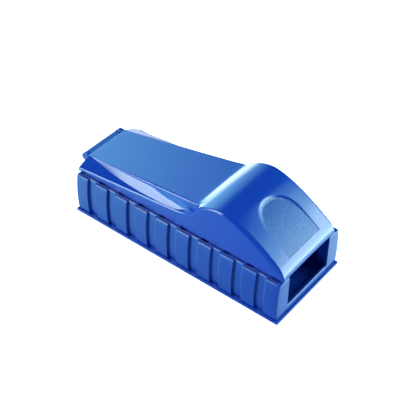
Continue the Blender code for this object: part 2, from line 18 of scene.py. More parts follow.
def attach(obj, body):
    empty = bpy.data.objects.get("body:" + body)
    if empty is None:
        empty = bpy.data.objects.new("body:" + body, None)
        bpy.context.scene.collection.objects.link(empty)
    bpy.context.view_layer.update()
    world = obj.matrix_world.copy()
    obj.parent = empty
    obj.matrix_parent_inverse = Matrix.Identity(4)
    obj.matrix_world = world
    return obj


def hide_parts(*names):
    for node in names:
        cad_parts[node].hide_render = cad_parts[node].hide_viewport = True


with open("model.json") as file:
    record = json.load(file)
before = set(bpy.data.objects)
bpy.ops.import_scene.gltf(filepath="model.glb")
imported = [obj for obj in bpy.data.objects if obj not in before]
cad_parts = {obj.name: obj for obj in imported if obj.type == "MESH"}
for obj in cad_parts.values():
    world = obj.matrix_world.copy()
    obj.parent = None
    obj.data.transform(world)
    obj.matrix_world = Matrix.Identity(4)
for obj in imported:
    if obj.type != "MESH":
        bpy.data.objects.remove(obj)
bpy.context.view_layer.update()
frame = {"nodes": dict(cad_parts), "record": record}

MM = 0.001
LOG = logging.getLogger("tube_filler")


# ---------------------------------------------------------------- helpers
def linear_colour(hex_code: str) -> tuple[float, float, float, float]:
    """Turn an sRGB hex colour into linear light.

    Args:
        hex_code: colour such as "#1846b8".

    Returns:
        Red, green, blue and an alpha of one.
    """
    raw = hex_code.lstrip("#")
    parts = [int(raw[i:i + 2], 16) / 255 for i in (0, 2, 4)]
    red, green, blue = [v / 12.92 if v <= 0.04045 else ((v + 0.055) / 1.055) ** 2.4 for v in parts]
    return red, green, blue, 1.0


def ease(value: np.ndarray | float, low: float, high: float) -> np.ndarray:
    """Smooth step: 0 below low, 1 above high, and 3t^2 - 2t^3 in between."""
    t = np.clip((np.asarray(value, float) - low) / (high - low), 0.0, 1.0)
    return t * t * (3 - 2 * t)


def grid_faces(rows: int, columns: int, close_rows: bool = False, close_columns: bool = False) -> np.ndarray:
    """Corner numbers of the four-sided faces of a grid, which may wrap round in either direction."""
    i = np.arange(rows if close_rows else rows - 1)
    j = np.arange(columns if close_columns else columns - 1)
    i, j = np.meshgrid(i, j, indexing="ij")
    after_i = (i + 1) % rows
    after_j = (j + 1) % columns
    this_row, next_row = i * columns, after_i * columns
    quads = np.stack([this_row + j, next_row + j, next_row + after_j, this_row + after_j], -1)
    return quads.reshape(-1, 4)


def mesh_piece(name: str, points: np.ndarray, faces: list, sharp_degrees: float = 50.0) -> bpy.types.Object:
    """Make a smooth-shaded mesh object from millimetre points.

    Args:
        name: name of the piece.
        points: array of (x, y, z) rows in millimetres.
        faces: arrays of corner numbers, one array for each count of corners.
        sharp_degrees: edges that bend more than this stay sharp.

    Returns:
        The object, at the origin, with its place in its mesh.
    """
    mesh = bpy.data.meshes.new(name)
    listed = [face for block in faces for face in block.tolist()]
    mesh.from_pydata((points * MM).tolist(), [], listed)
    mesh.polygons.foreach_set("use_smooth", np.ones(len(mesh.polygons), bool))
    mesh.set_sharp_from_angle(angle=math.radians(sharp_degrees))
    mesh.validate()
    mesh.update()
    piece = bpy.data.objects.new(name, mesh)
    bpy.context.scene.collection.objects.link(piece)
    return piece


def add_node(tree: bpy.types.NodeTree, kind: str, settings: dict | None = None,
             links: dict | None = None) -> bpy.types.Node:
    """Add one shader node.

    Args:
        tree: the material's node tree.
        kind: Blender's name of the node type.
        settings: values of its sockets, or of its own properties where no socket has that name.
        links: output sockets that feed its inputs, by input name or number.

    Returns:
        The new node.
    """
    node = tree.nodes.new(kind)
    for key, value in (settings or {}).items():
        if isinstance(key, int) or key in node.inputs:
            node.inputs[key].default_value = value
        else:
            setattr(node, key, value)
    for key, source in (links or {}).items():
        tree.links.new(source, node.inputs[key])
    return node


def start_material(name: str, **shader_values: object
                   ) -> tuple[bpy.types.Material, bpy.types.Node, bpy.types.NodeSocket]:
    """Make an empty material with a Principled shader.

    Args:
        name: name of the material.
        shader_values: socket values of the shader, with underscores for spaces.

    Returns:
        The material, its shader node and the Object coordinate socket.
    """
    material = bpy.data.materials.new(name)
    material.use_nodes = True
    tree = material.node_tree
    tree.nodes.clear()
    settings = {key.replace("_", " "): value for key, value in shader_values.items()}
    shader = add_node(tree, "ShaderNodeBsdfPrincipled", settings)
    add_node(tree, "ShaderNodeOutputMaterial", links={"Surface": shader.outputs["BSDF"]})
    place = add_node(tree, "ShaderNodeTexCoord").outputs["Object"]
    return material, shader, place


def plug_in(shader: bpy.types.Node, colour: bpy.types.NodeSocket, rough: bpy.types.NodeSocket,
            normal: bpy.types.NodeSocket) -> None:
    """Feed a Principled shader its colour, roughness and normal."""
    for key, source in (("Base Color", colour), ("Roughness", rough), ("Normal", normal)):
        shader.id_data.links.new(source, shader.inputs[key])


# ---------------------------------------------------------------- finishes
class Grain(Enum):
    """Which way the fine lines of a surface run."""

    ALONG = (900.0, 24.0, 900.0)
    UPRIGHT = (900.0, 900.0, 24.0)


@dataclass(frozen=True)
class MouldedAbs:
    """ABS moulded against a polished steel tool: deep even colour, sharp gloss and a very faint ripple."""

    name: str
    body_hex: str
    flow_hex: str
    roughness: float = 0.16
    haze: float = 0.07
    flow_per_metre: float = 60.0
    speck_per_metre: float = 2600.0
    speck_height_mm: float = 0.0012
    ripple_mm: float = 3.5
    ripple_height_mm: float = 0.012
    scuff: float = 0.10
    pad_mask: str = ""
    pad_hex: str = "#315b9d"
    pad_grit_mm: float = 0.55
    pad_height_mm: float = 0.14

    def build(self) -> bpy.types.Material:
        """Make the material: flow marks in the colour, handling scuffs in the gloss, ripple in the bump."""
        material, shader, place = start_material(self.name, IOR=1.53, Metallic=0.0)
        tree = material.node_tree
        flow = add_node(tree, "ShaderNodeTexNoise",
                        {"Scale": self.flow_per_metre, "Detail": 3.0, "Roughness": 0.5}, {"Vector": place})
        speck = add_node(tree, "ShaderNodeTexNoise", {"Scale": self.speck_per_metre, "Detail": 1.0},
                         {"Vector": place})
        tint = add_node(tree, "ShaderNodeMix", {"data_type": "RGBA", 6: linear_colour(self.body_hex),
                                                7: linear_colour(self.flow_hex)}, {0: flow.outputs["Fac"]})
        scratch_room = add_node(tree, "ShaderNodeMapping",
                                {"Rotation": (0.0, 0.0, 0.35), "Scale": (160.0, 9.0, 160.0)},
                                {"Vector": place})
        scratch = add_node(tree, "ShaderNodeTexNoise", {"Scale": 9.0, "Detail": 4.0, "Roughness": 0.7},
                           {"Vector": scratch_room.outputs["Vector"]})
        scratch_line = add_node(tree, "ShaderNodeMapRange",
                                {"From Min": 0.66, "From Max": 0.80, "To Min": 0.0, "To Max": self.scuff},
                                {"Value": scratch.outputs["Fac"]})
        haze = add_node(tree, "ShaderNodeMapRange",
                        {"From Min": 0.3, "From Max": 0.8,
                         "To Min": self.roughness, "To Max": self.roughness + self.haze},
                        {"Value": flow.outputs["Fac"]})
        gloss = add_node(tree, "ShaderNodeMath", {"operation": "ADD"},
                         {0: haze.outputs["Result"], 1: scratch_line.outputs["Result"]})
        ripple = add_node(tree, "ShaderNodeTexNoise", {"Scale": 1000.0 / self.ripple_mm, "Detail": 2.0},
                          {"Vector": place})
        bump = add_node(tree, "ShaderNodeBump", {"Strength": 1.0, "Distance": self.ripple_height_mm * MM},
                        {"Height": ripple.outputs["Fac"]})
        fine = add_node(tree, "ShaderNodeBump", {"Strength": 1.0, "Distance": self.speck_height_mm * MM},
                        {"Height": speck.outputs["Fac"], "Normal": bump.outputs["Normal"]})
        colour, rough, normal = tint.outputs[2], gloss.outputs["Value"], fine.outputs["Normal"]
        if self.pad_mask:
            colour, rough, normal = self.add_pad(tree, place, colour, rough, normal)
        plug_in(shader, colour, rough, normal)
        return material

    def add_pad(self, tree: bpy.types.NodeTree, place: bpy.types.NodeSocket, colour: bpy.types.NodeSocket,
                rough: bpy.types.NodeSocket, normal: bpy.types.NodeSocket) -> tuple:
        """Blend in the spark-eroded grain where the mask attribute is one.

        Args:
            tree: the node tree.
            place: Object coordinates.
            colour: colour outside the pad.
            rough: roughness outside the pad.
            normal: bumped normal outside the pad.

        Returns:
            The three blended sockets.
        """
        mask = add_node(tree, "ShaderNodeAttribute", {"attribute_name": self.pad_mask})
        grit = add_node(tree, "ShaderNodeTexNoise", {"Scale": 1000.0 / self.pad_grit_mm, "Detail": 3.0,
                                                     "Roughness": 0.65}, {"Vector": place})
        pits = add_node(tree, "ShaderNodeMapRange",
                        {"From Min": 0.40, "From Max": 0.64, "To Min": 1.0, "To Max": 0.0},
                        {"Value": grit.outputs["Fac"]})
        grey = add_node(tree, "ShaderNodeMix", {"data_type": "RGBA", 6: linear_colour(self.pad_hex),
                                                7: linear_colour(self.body_hex)}, {0: pits.outputs["Result"]})
        mixed = add_node(tree, "ShaderNodeMix", {"data_type": "RGBA"},
                         {0: mask.outputs["Fac"], 6: colour, 7: grey.outputs[2]})
        pad_rough = add_node(tree, "ShaderNodeMapRange",
                             {"From Min": 0.3, "From Max": 0.7, "To Min": 0.48, "To Max": 0.36},
                             {"Value": grit.outputs["Fac"]})
        dull = add_node(tree, "ShaderNodeMix", {"data_type": "FLOAT"},
                        {0: mask.outputs["Fac"], 2: rough, 3: pad_rough.outputs["Result"]})
        height = add_node(tree, "ShaderNodeMath", {"operation": "MULTIPLY"},
                          {0: mask.outputs["Fac"], 1: grit.outputs["Fac"]})
        bump = add_node(tree, "ShaderNodeBump", {"Strength": 1.0, "Distance": self.pad_height_mm * MM},
                        {"Height": height.outputs["Value"], "Normal": normal})
        return mixed.outputs[2], dull.outputs[0], bump.outputs["Normal"]


@dataclass(frozen=True)
class SatinAbs:
    """ABS moulded against a stoned tool: a soft sheen with faint draw lines from the way the tool opens."""

    name: str
    body_hex: str
    worn_hex: str
    roughness: float = 0.30
    grain: Grain = Grain.UPRIGHT
    line_height_mm: float = 0.0016
    drift_per_metre: float = 45.0

    def build(self) -> bpy.types.Material:
        """Make the material: fine draw lines in bump and gloss, and a slow drift in the colour."""
        material, shader, place = start_material(self.name, IOR=1.53, Metallic=0.0)
        tree = material.node_tree
        drift = add_node(tree, "ShaderNodeTexNoise", {"Scale": self.drift_per_metre, "Detail": 3.0},
                         {"Vector": place})
        tint = add_node(tree, "ShaderNodeMix", {"data_type": "RGBA", 6: linear_colour(self.body_hex),
                                                7: linear_colour(self.worn_hex)}, {0: drift.outputs["Fac"]})
        room = add_node(tree, "ShaderNodeMapping", {"Scale": self.grain.value}, {"Vector": place})
        lines = add_node(tree, "ShaderNodeTexNoise", {"Scale": 1.0, "Detail": 3.0, "Roughness": 0.6},
                         {"Vector": room.outputs["Vector"]})
        gloss = add_node(tree, "ShaderNodeMapRange",
                         {"From Min": 0.3, "From Max": 0.7,
                          "To Min": self.roughness - 0.04, "To Max": self.roughness + 0.06},
                         {"Value": lines.outputs["Fac"]})
        bump = add_node(tree, "ShaderNodeBump", {"Strength": 1.0, "Distance": self.line_height_mm * MM},
                        {"Height": lines.outputs["Fac"]})
        plug_in(shader, tint.outputs[2], gloss.outputs["Result"], bump.outputs["Normal"])
        return material


@dataclass(frozen=True)
class DrawnSteel:
    """Stainless steel drawn and polished along its length: bright, with hairlines that run with the tube."""

    name: str
    body_hex: str = "#c6c8cb"
    stain_hex: str = "#a39a8c"
    roughness: float = 0.22
    grain: Grain = Grain.ALONG
    stain_per_metre: float = 180.0
    hair_height_mm: float = 0.006

    def build(self) -> bpy.types.Material:
        """Make the material: hairline bump, uneven polish and a light stain."""
        material, shader, place = start_material(self.name, Metallic=1.0)
        tree = material.node_tree
        room = add_node(tree, "ShaderNodeMapping", {"Scale": self.grain.value}, {"Vector": place})
        hair = add_node(tree, "ShaderNodeTexNoise", {"Scale": 3.0, "Detail": 3.0, "Roughness": 0.7},
                        {"Vector": room.outputs["Vector"]})
        stain = add_node(tree, "ShaderNodeTexNoise", {"Scale": self.stain_per_metre, "Detail": 4.0},
                         {"Vector": place})
        spread = add_node(tree, "ShaderNodeMapRange",
                          {"From Min": 0.50, "From Max": 0.80, "To Min": 0.0, "To Max": 0.55},
                          {"Value": stain.outputs["Fac"]})
        colours = {6: linear_colour(self.body_hex), 7: linear_colour(self.stain_hex)}
        tint = add_node(tree, "ShaderNodeMix", {"data_type": "RGBA", **colours},
                        {0: spread.outputs["Result"]})
        gloss = add_node(tree, "ShaderNodeMapRange",
                         {"From Min": 0.25, "From Max": 0.75,
                          "To Min": self.roughness - 0.06, "To Max": self.roughness + 0.12},
                         {"Value": hair.outputs["Fac"]})
        bump = add_node(tree, "ShaderNodeBump", {"Strength": 1.0, "Distance": self.hair_height_mm * MM},
                        {"Height": hair.outputs["Fac"]})
        plug_in(shader, tint.outputs[2], gloss.outputs["Result"], bump.outputs["Normal"])
        return material


@dataclass(frozen=True)
class ZincPlate:
    """Bright zinc plating on a steel screw: pale bluish metal with a cloudy passivated film."""

    name: str
    body_hex: str = "#b9bec4"
    film_hex: str = "#9fa4b8"
    cloud_per_metre: float = 500.0
    grain_per_metre: float = 4000.0
    grain_height_mm: float = 0.004

    def build(self) -> bpy.types.Material:
        """Make the material: cloudy film in the colour and gloss, fine plating grain in the bump."""
        material, shader, place = start_material(self.name, Metallic=1.0)
        tree = material.node_tree
        cloud = add_node(tree, "ShaderNodeTexNoise", {"Scale": self.cloud_per_metre, "Detail": 3.0},
                         {"Vector": place})
        grain = add_node(tree, "ShaderNodeTexVoronoi", {"Scale": self.grain_per_metre}, {"Vector": place})
        tint = add_node(tree, "ShaderNodeMix", {"data_type": "RGBA", 6: linear_colour(self.body_hex),
                                                7: linear_colour(self.film_hex)}, {0: cloud.outputs["Fac"]})
        gloss = add_node(tree, "ShaderNodeMapRange", {"To Min": 0.28, "To Max": 0.46},
                         {"Value": cloud.outputs["Fac"]})
        bump = add_node(tree, "ShaderNodeBump", {"Strength": 1.0, "Distance": self.grain_height_mm * MM},
                        {"Height": grain.outputs["Distance"]})
        plug_in(shader, tint.outputs[2], gloss.outputs["Result"], bump.outputs["Normal"])
        return material


@dataclass(frozen=True)
class StopRubber:
    """Black nitrile rubber, compression moulded: matt, slightly greyed where it is rubbed."""

    name: str
    body_hex: str = "#1b1b1d"
    rubbed_hex: str = "#39393c"
    rub_per_metre: float = 700.0
    pores_per_metre: float = 3500.0
    pore_height_mm: float = 0.02

    def build(self) -> bpy.types.Material:
        """Make the material: rubbed patches in the colour, fine pores in the bump."""
        material, shader, place = start_material(self.name, IOR=1.52, Metallic=0.0, Specular_IOR_Level=0.35)
        tree = material.node_tree
        rub = add_node(tree, "ShaderNodeTexNoise", {"Scale": self.rub_per_metre, "Detail": 3.0},
                       {"Vector": place})
        pores = add_node(tree, "ShaderNodeTexNoise", {"Scale": self.pores_per_metre, "Detail": 2.0},
                         {"Vector": place})
        tint = add_node(tree, "ShaderNodeMix", {"data_type": "RGBA", 6: linear_colour(self.body_hex),
                                                7: linear_colour(self.rubbed_hex)}, {0: rub.outputs["Fac"]})
        gloss = add_node(tree, "ShaderNodeMapRange", {"To Min": 0.65, "To Max": 0.9},
                         {"Value": rub.outputs["Fac"]})
        bump = add_node(tree, "ShaderNodeBump", {"Strength": 1.0, "Distance": self.pore_height_mm * MM},
                        {"Height": pores.outputs["Fac"]})
        plug_in(shader, tint.outputs[2], gloss.outputs["Result"], bump.outputs["Normal"])
        return material


def dress(piece: bpy.types.Object, material: bpy.types.Material) -> None:
    """Give a piece one material in all of its slots."""
    if not piece.material_slots:
        piece.data.materials.append(material)
    for slot in piece.material_slots:
        slot.material = material


# ---------------------------------------------------------------- grip box
@dataclass
class GripBox:
    """Thin-walled box with corrugated long sides and a U-shaped window, open at the top, in its front end."""

    half_length: float = 57.5
    rim_half: float = 22.15
    height: float = 21.7
    foot: float = 1.32
    belly: float = 1.2
    belly_share: float = 0.42
    wall: float = 1.7
    rim_round: float = 0.38
    foot_pull: float = 0.25
    rim_bead: float = 0.45
    bead_from: float = 14.5
    bead_full: float = 17.0
    end_wall: float = 1.5
    corner: float = 0.5
    panels: int = 10
    recess_ratio: float = 0.755
    recess_depth: float = 1.25
    step_run: float = 0.16
    ramp_run: float = 1.2
    ramp_shift: float = 0.41
    window_half: float = 15.2
    sill: float = 4.6
    sill_round: float = 0.8
    jamb_round: float = 0.35
    inner_corner: float = 0.4
    finish: SatinAbs = field(default_factory=lambda: SatinAbs(
        "moulded_abs_grip_sides", "#0e2e8c", "#133493", 0.20))

    def panel_width(self) -> float:
        """Width of one raised panel."""
        return 2 * self.half_length / (self.panels + (self.panels - 1) * self.recess_ratio)

    def recesses(self) -> tuple[np.ndarray, float]:
        """Place of each recess's rear edge, and the width of a recess."""
        panel = self.panel_width()
        recess = panel * self.recess_ratio
        return self.half_length - panel - np.arange(self.panels - 1) * (panel + recess), recess

    def half_width(self, z: np.ndarray) -> np.ndarray:
        """Half width over the panels: rim half width plus a parabola that peaks below mid-height."""
        widest = self.belly_share * self.height
        share = (z - widest) / (self.height - widest)
        return self.rim_half + self.belly * (1 - share ** 2)

    def side_stations(self) -> np.ndarray:
        """Places along one long side, rear to front, crowded where the wall steps in and out."""
        rear, recess = self.recesses()
        step = [0.22, 0.10, 0.02, -0.05, -0.12, -0.20, -0.32]
        inner_step = [1.25, 1.1, 0.98, 0.85]
        ramp = [1.7, 1.35, 1.1, 0.85, 0.6, 0.35, 0.12, -0.15]
        by_step = np.array([*step, *inner_step, -0.8, -1.8])
        by_ramp = np.array([*ramp, -0.3, -0.6, -2.6])
        from_step, from_ramp = rear[:, None] + by_step, rear[:, None] - recess + by_ramp
        places = np.concatenate([from_step.ravel(), from_ramp.ravel()])
        limit = self.half_length - self.corner
        return np.sort(places[np.abs(places) < limit - 0.05])[::-1]

    def sink(self, y: np.ndarray, shift: float) -> np.ndarray:
        """How far the wall is sunk at y: a sharp step at each recess's rear end, a ramp at its front end.

        Args:
            y: places along the length.
            shift: how much wider the recess is at each end, used for the inner face.

        Returns:
            Depth at each place.
        """
        rear, recess = self.recesses()
        depth = np.zeros_like(y)
        for edge in rear:
            back = ease(-(y - edge - shift), 0.0, self.step_run)
            front = ease(y - (edge - recess) + self.ramp_shift * shift, 0.0, self.ramp_run)
            depth = np.maximum(depth, back * front)
        return depth * self.recess_depth

    def outline(self) -> dict[str, np.ndarray]:
        """Half of the outline, from the front's middle round the right side to the rear's middle.

        Returns:
            Arrays: outer and inner x inset from the side, outer and inner y, top height, and a flat share
            that is one on the end walls and zero on the corners and the side.
        """
        bend = np.linspace(0, np.pi / 2, 6)
        small = self.inner_corner
        window_edge = self.window_half
        sill_x = np.array([0.0, 4.0, 8.0, 12.0, window_edge - 1.1])
        jamb = window_edge + np.array([-0.8, -0.45, -0.2, -0.06, 0.0, 0.015, 0.06, 0.18, 0.4])
        post = window_edge + np.array([1.2, 3.0])
        low, high = self.sill_round, self.jamb_round
        past = np.clip(jamb[5:] - window_edge, 0, high)
        top_front = np.concatenate([
            np.full(len(sill_x), self.sill),
            self.sill + low - np.sqrt(np.clip(low ** 2 - (jamb[:5] - window_edge + low) ** 2, 0, None)),
            self.height - high + np.sqrt(np.clip(high ** 2 - (high - past) ** 2, 0, None)),
            np.full(len(post), self.height)])
        front_x = np.concatenate([sill_x, jamb, post])
        sides = self.side_stations()[::-1]
        rear_x = np.array([16.0, 8.0, 0.0])
        half = self.rim_half
        # the corner runs from the end wall to the side wall
        corner_x, corner_y = self.corner * (1 - np.sin(bend)), self.corner * (1 - np.cos(bend))
        small_x, small_y = small * (1 - np.sin(bend)), small * (1 - np.cos(bend))
        end_y = self.half_length
        inner_end = end_y - self.end_wall
        front, rear = np.ones(len(front_x)), np.ones(len(rear_x))
        out_x = np.concatenate([half - front_x, corner_x, self.sink(sides, 0.0), corner_x[::-1],
                                half - rear_x])
        in_side = self.wall + self.sink(sides, self.wall)
        in_x = np.concatenate([half - front_x, self.wall + small_x, in_side, self.wall + small_x[::-1],
                               half - rear_x])
        out_y = np.concatenate([-end_y * front, -end_y + corner_y, sides, (end_y - corner_y)[::-1],
                                end_y * rear])
        in_y = np.concatenate([-inner_end * front, -inner_end + small_y, sides, (inner_end - small_y)[::-1],
                               inner_end * rear])
        top = np.concatenate([top_front, np.full(len(out_x) - len(top_front), self.height)])
        flat = np.concatenate([front, np.zeros(len(out_x) - len(front) - len(rear)), rear])
        return {"out_x": out_x, "in_x": in_x, "out_y": out_y, "in_y": in_y, "top": top, "flat": flat}

    def build(self) -> bpy.types.Object:
        """Carry an upright wall section round the outline.

        At every outline place the section climbs the outer face, rounds over the rim, falls down the inner
        face and closes under the foot, so the box is one closed skin without any cutting.
        """
        line = self.outline()
        count = len(line["out_x"])
        share = np.concatenate([np.array([0.0, 0.012, 0.03]), np.linspace(0.08, 0.9, 9), np.array([0.96])])
        rim = self.rim_round
        turn = np.linspace(0, np.pi / 2, 5)
        top = line["top"][:, None]
        z_out = self.foot + (top - rim - self.foot) * share[None, :]
        z_round = top - rim + rim * np.sin(turn)[None, :]
        z_out = np.concatenate([z_out, z_round], 1)
        foot = self.foot_pull * (1 - ease(share, 0.0, 0.03))
        pull = np.concatenate([foot, rim * (1 - np.cos(turn))])[None, :]
        z_in = z_out[:, ::-1]
        wide_out = self.half_width(z_out)
        wide_in = self.half_width(z_in)
        flat = line["flat"][:, None]
        mix_out = np.where(flat > 0, self.rim_half, wide_out)
        mix_in = np.where(flat > 0, self.rim_half, wide_in)
        x_out = mix_out - line["out_x"][:, None] - pull * (1 - flat)
        bead = self.rim_bead * ease(z_in, self.bead_from, self.bead_full)
        x_in = mix_in - line["in_x"][:, None] + (pull[:, ::-1] - bead) * (1 - flat)
        lean = np.sign(line["out_y"])[:, None] * flat
        y_out = line["out_y"][:, None] - pull * lean
        y_in = line["in_y"][:, None] + pull[:, ::-1] * lean
        x = np.concatenate([x_out, x_in], 1)
        y = np.concatenate([y_out, y_in], 1)
        z = np.concatenate([z_out, z_in], 1)
        right = np.stack([x, y, z], -1)
        left = right[::-1][1:-1].copy()
        left[..., 0] *= -1
        ring = np.concatenate([right, left], 0)
        rows, columns = ring.shape[:2]
        faces = grid_faces(rows, columns, close_rows=True, close_columns=True)
        piece = mesh_piece("grip_box_shell", ring.reshape(-1, 3), [faces], 40.0)
        LOG.info("grip box: %d outline places, %d faces", count, len(faces))
        dress(piece, self.finish.build())
        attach(piece, "base")
        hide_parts("base_housing")
        return piece


# ---------------------------------------------------------------- cover
@dataclass
class HumpCover:
    """Cover with a flat tapering rear panel, scooped wings, a hump and a sunk thumb pad."""

    # overall
    half_width: float = 19.7
    bottom: float = 22.1
    rear: float = 58.8
    front: float = -57.4
    wall: float = 1.6
    # flat panel
    panel_height: float = 35.62
    panel_slope: float = 0.1586
    panel_middle: float = 16.52
    panel_taper: float = 0.0678
    panel_widest: float = 17.2
    panel_round: float = 1.1
    # middle line: crown, falls each way, lip and valley
    crown_y: float = -24.5
    crown_height: float = 42.35
    front_fall: float = 0.0600
    front_power: float = 1.62
    rear_fall: float = 0.0345
    rear_power: float = 1.88
    lip_start: float = -54.4
    lip_run: float = 3.05
    lip_drop: float = 2.9
    valley_fillet: float = 0.35
    dome: float = 0.45
    rear_round: float = 0.42
    # side's upper edge: along the wing, then along the hump
    edge_middle: float = 29.3
    edge_fall: float = 0.102
    curl_start: float = 8.0
    curl_length: float = 22.0
    curl_rise: float = 7.8
    curl_power: float = 3.9
    edge_drop: float = 0.75
    edge_drop_more: float = 0.82
    edge_crisp: float = 1.05
    edge_broad: float = 1.0
    edge_lip_share: float = 0.55
    tuck_start: float = 56.2
    tuck_run: float = 1.2
    tuck: float = 0.75
    # wing: ledge, scooped wall and steep lip (slopes in radians)
    ledge_slope: float = 0.40
    ledge_least: float = 0.7
    ledge_start: float = 5.0
    ledge_run: float = 46.0
    ledge_spread: float = 5.1
    ledge_power: float = 1.9
    ledge_hook: float = 1.7
    lip_slope: float = 1.40
    lip_length: float = 0.40
    full_rise: float = 5.0
    scoop_start: float = 0.72
    scoop_steepest: float = 1.45
    # where the wing turns into the hump
    hump_from: float = 8.6
    hump_full: float = 13.4
    shoulder: float = 3.4
    fixed_from: float = 12.25
    # thumb pad
    pad_half: float = 11.2
    pad_front: float = -54.1
    pad_length: float = 21.8
    pad_shallow: float = 0.22
    pad_deepening: float = 0.78
    bevel_least: float = 0.16
    bevel_growth: float = 1.5
    bevel_power: float = 1.3
    # lining and grid
    lip_thickness: float = 1.9
    top_thickness: float = 1.7
    foot_gap: float = 0.12
    side_columns: int = 13
    round_columns: int = 22
    lining_step: int = 4
    finish: MouldedAbs = field(default_factory=lambda: MouldedAbs(
        "moulded_abs_polished_cover", "#0f3299", "#12369e", 0.09, pad_mask="pad"))

    def panel_z(self, y: np.ndarray) -> np.ndarray:
        """Height of the flat panel: a straight fall towards the hinge."""
        return self.panel_height - self.panel_slope * y

    def panel_half(self, y: np.ndarray) -> np.ndarray:
        """Half width of the flat panel: a straight taper towards the hinge."""
        return self.panel_middle - self.panel_taper * y

    def crown_z(self, y: np.ndarray) -> np.ndarray:
        """Height along the middle, falling as a power of the distance each way from the crown.

        The front end is a quarter ellipse, and the fall to the rear meets the panel's line in a soft fillet.
        """
        ahead, behind = np.clip(self.crown_y - y, 0, None), np.clip(y - self.crown_y, 0, None)
        front_drop = self.front_fall * ahead ** self.front_power
        rear_drop = self.rear_fall * behind ** self.rear_power
        hump = self.crown_height - front_drop - rear_drop
        lip = np.clip((self.lip_start - y) / self.lip_run, 0, 1)
        hump = hump - self.lip_drop * (1 - np.sqrt(1 - lip ** 2))
        panel = self.panel_z(y)
        fillet = 0.5 * (hump + panel + np.sqrt((hump - panel) ** 2 + self.valley_fillet ** 2))
        return hump + (fillet - hump) * ease(behind, 2.0, 6.0)

    def edge_z(self, y: np.ndarray) -> np.ndarray:
        """Height of the side's upper edge.

        Along the wing it falls straight to the rear and curls up to the hump as a power; along the hump it
        stays a little below the middle line.
        """
        curl = np.clip((self.curl_start - y) / self.curl_length, 0, None) ** self.curl_power
        wing = self.edge_middle - self.edge_fall * y + self.curl_rise * np.minimum(curl, 1.0)
        drop = self.edge_drop + self.edge_drop_more * ease(-y, 14.0, 30.0)
        hump = np.maximum(self.crown_z(y) - drop, self.bottom + 0.04)
        return wing + (hump - wing) * ease(-y, 13.0, 14.6)

    def edge_round(self, y: np.ndarray) -> np.ndarray:
        """Radius of the side's upper edge: crisp at the rear, growing to a broad round at the front."""
        broad = self.edge_broad * ease(-y, 17.0, 42.0) * (1 - self.edge_lip_share * ease(-y, 52.0, 57.4))
        return self.edge_crisp + broad

    def side_x(self, y: np.ndarray) -> np.ndarray:
        """Half width of the side wall, drawn in a little round the lip's corners."""
        lip = np.clip((-y - self.tuck_start) / self.tuck_run, 0, 1)
        return self.half_width - self.tuck * (1 - np.sqrt(np.clip(1 - lip ** 2, 0, 1)))

    def ledge_width(self, y: np.ndarray) -> np.ndarray:
        """Width of the wing's ledge: it spreads as a power to the rear and hooks in at the front."""
        spread = np.clip((y - self.ledge_start) / self.ledge_run, 0, None) ** self.ledge_power
        hook = ease(-y, -2.5, 8.0)
        width = self.ledge_least + self.ledge_spread * spread + self.ledge_hook * hook
        return np.minimum(width, self.half_width - self.panel_half(y) - 0.04)

    def rows(self) -> np.ndarray:
        """Places along the length, crowded at the rear edge, the wing's ends, the valley, pad and lip."""
        spans = ((58.0, 46.0, 30), (46.0, 0.0, 60), (0.0, -9.5, 40), (-9.5, -14.6, 30), (-14.6, -31.8, 30),
                 (-31.8, -44.0, 46), (-44.0, -53.7, 18), (-53.7, -54.6, 9), (-54.6, -56.2, 8))
        rear_edge = self.rear - np.array([0.0, 0.02, 0.06, 0.12, 0.20, 0.30, 0.42])
        between = [np.linspace(start, end, count, endpoint=False) for start, end, count in spans]
        return np.concatenate([rear_edge, *between, np.linspace(-56.2, self.front, 12)])

    def wing_section(self, y: np.ndarray) -> tuple[np.ndarray, np.ndarray]:
        """Side wall, small round, ledge, scooped wall, steep lip and the panel's round edge, going inwards.

        The ledge rises inwards at a fixed slope as far as the crease. The scooped wall is a quadratic curve
        that leaves the crease at a middling slope and meets the panel's edge steeply, and the panel's edge is
        a circular arc that turns the steep wall into the flat panel.

        Args:
            y: places along the length.

        Returns:
            Arrays of x and z, one row for each place.
        """
        side, edge = self.side_x(y)[:, None], self.edge_z(y)[:, None]
        top, half = self.crown_z(y)[:, None], np.minimum(self.panel_half(y), self.panel_widest)[:, None]
        lean = math.tan(self.ledge_slope)
        width = self.ledge_width(y)[:, None]
        radius = self.edge_round(y)[:, None]
        up = np.linspace(0, 1, self.side_columns)[None, :]
        back = radius * math.tan((math.pi / 2 - self.ledge_slope) / 2)
        x_wall = side + 0 * up
        z_wall = self.bottom + (edge - back - self.bottom) * up
        turn = np.linspace(math.pi / 2, self.ledge_slope, 7)[None, 1:]
        x_edge = side - radius * (1 - np.sin(turn))
        z_edge = edge - back + radius * np.cos(turn)
        crease_z = np.minimum(edge + lean * width, top - 0.03)
        t = np.array([0.2, 0.4, 0.6, 0.8, 0.93, 0.99, 1.0])[None, :]
        x_ledge = x_edge[:, -1:] + (side - width - x_edge[:, -1:]) * t
        z_ledge = z_edge[:, -1:] + (crease_z - z_edge[:, -1:]) * t
        rise = top - crease_z
        steep = self.lip_slope
        room = np.clip(rise / self.full_rise, 0.02, 1.0)
        bend = self.panel_round * room
        tangent = bend * math.tan(steep / 2)
        end_x, end_z = half + tangent * math.cos(steep), top - tangent * math.sin(steep)
        foot_x = end_x + self.lip_length * room * math.cos(steep)
        foot_z = end_z - self.lip_length * room * math.sin(steep)
        gap_x, gap_z = np.maximum(side - width - foot_x, 0.02), np.maximum(foot_z - crease_z, 0.01)
        length = np.hypot(gap_x, gap_z)
        chord = np.arctan2(gap_z, gap_x)
        start = np.minimum(self.scoop_start, 0.95 * chord)
        finish = np.clip(2 * chord - start, chord + 0.02, self.scoop_steepest)
        cross = np.maximum(np.sin(finish - start), 1e-3)
